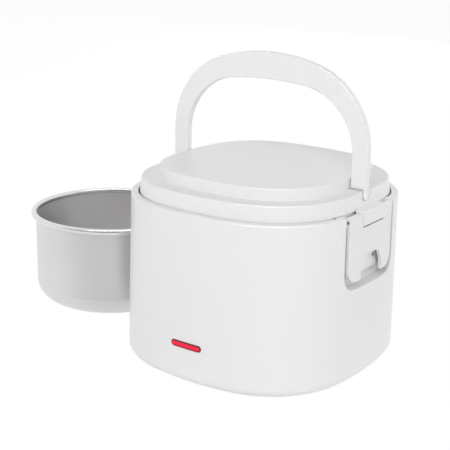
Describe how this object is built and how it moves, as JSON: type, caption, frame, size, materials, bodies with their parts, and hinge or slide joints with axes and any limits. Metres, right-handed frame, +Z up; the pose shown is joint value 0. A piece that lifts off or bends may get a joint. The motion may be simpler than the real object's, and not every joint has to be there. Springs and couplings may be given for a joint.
{
  "type": "electric lunch box",
  "caption": "Heated lunch box: squarish white plastic body with a round heating well, lift-off lid with folding handle and side latches, and a steel food bowl.",
  "frame": {"origin": "middle of the box between its four feet, on the surface it stands on", "axes": "+Z up; -Y is the front with the lamp; +X is the side whose latch the picture shows; the bowl stands on the -X side"},
  "size_m": [0.2966, 0.1763, 0.2048],
  "materials": {
    "outer_housing": "smooth satin",
    "base_cover": "fine grain",
    "rubber_feet": "matte",
    "base_screws": "plated",
    "well_liner": "satin",
    "insulation_sleeve": "felted",
    "heating_plate": "spun",
    "heater_element": "mica",
    "heater_clamp": "pressed",
    "clamp_nuts": "machined",
    "thermostat": "moulded",
    "thermal_fuse": "matte",
    "power_inlet": "moulded",
    "inlet_pins": "bright",
    "inlet_screws": "plated",
    "supply_leads": "silicone",
    "indicator_lens": "clear red",
    "indicator_lamp": "neon tube",
    "lamp_holder": "moulded",
    "lid_shell": "smooth satin",
    "lid_inner_plate": "satin",
    "lid_gasket": "silicone",
    "lid_foam": "foam",
    "lid_screws": "plated",
    "handle": "smooth satin",
    "handle_pins": "ground",
    "latch_right": "smooth satin",
    "latch_left": "smooth satin",
    "latch_pins": "ground",
    "food_bowl": "satin, bright rim"
  },
  "bodies": {
    "housing": {"outer_housing": "outer_housing", "base_cover": "base_cover", "rubber_feet": "rubber_feet", "base_screws": "base_screws", "well_liner": "well_liner", "insulation_sleeve": "insulation_sleeve", "heating_plate": "heating_plate", "heater_element": "heater_element", "heater_clamp": "heater_clamp", "clamp_nuts": "clamp_nuts", "thermostat": "thermostat", "thermal_fuse": "thermal_fuse", "power_inlet": "power_inlet", "inlet_pins": "inlet_pins", "inlet_screws": "inlet_screws", "supply_leads": "supply_leads", "indicator_lens": "indicator_lens", "indicator_lamp": "indicator_lamp", "lamp_holder": "lamp_holder"},
    "lid": {"lid_shell": "lid_shell", "lid_inner_plate": "lid_inner_plate", "lid_gasket": "lid_gasket", "lid_foam": "lid_foam", "lid_screws": "lid_screws", "handle_pins": "handle_pins", "latch_pins": "latch_pins"},
    "carry_handle": {"handle": "handle"},
    "right_latch": {"latch_right": "latch_right"},
    "left_latch": {"latch_left": "latch_left"},
    "bowl": {"food_bowl": "food_bowl"}
  },
  "joints": [
    {"name": "lid_lift", "type": "slide", "parent": "housing", "child": "lid", "axis": [0, 0, 1], "range_m": [0, 0.12]},
    {"name": "handle_swing", "type": "hinge", "parent": "lid", "child": "carry_handle", "pos_m": [0, 0, 0.1265], "axis": [1, 0, 0], "range_deg": [-78, 78]},
    {"name": "latch_right_open", "type": "hinge", "parent": "lid", "child": "right_latch", "pos_m": [0.0786, 0, 0.1094], "axis": [0, -1, 0], "range_deg": [0, 100]},
    {"name": "latch_left_open", "type": "hinge", "parent": "lid", "child": "left_latch", "pos_m": [-0.0786, 0, 0.1094], "axis": [0, 1, 0], "range_deg": [0, 100]},
    {"name": "bowl_lift", "type": "slide", "parent": "housing", "child": "bowl", "axis": [0, 0, 1], "range_m": [0, 0.12]}
  ]
}
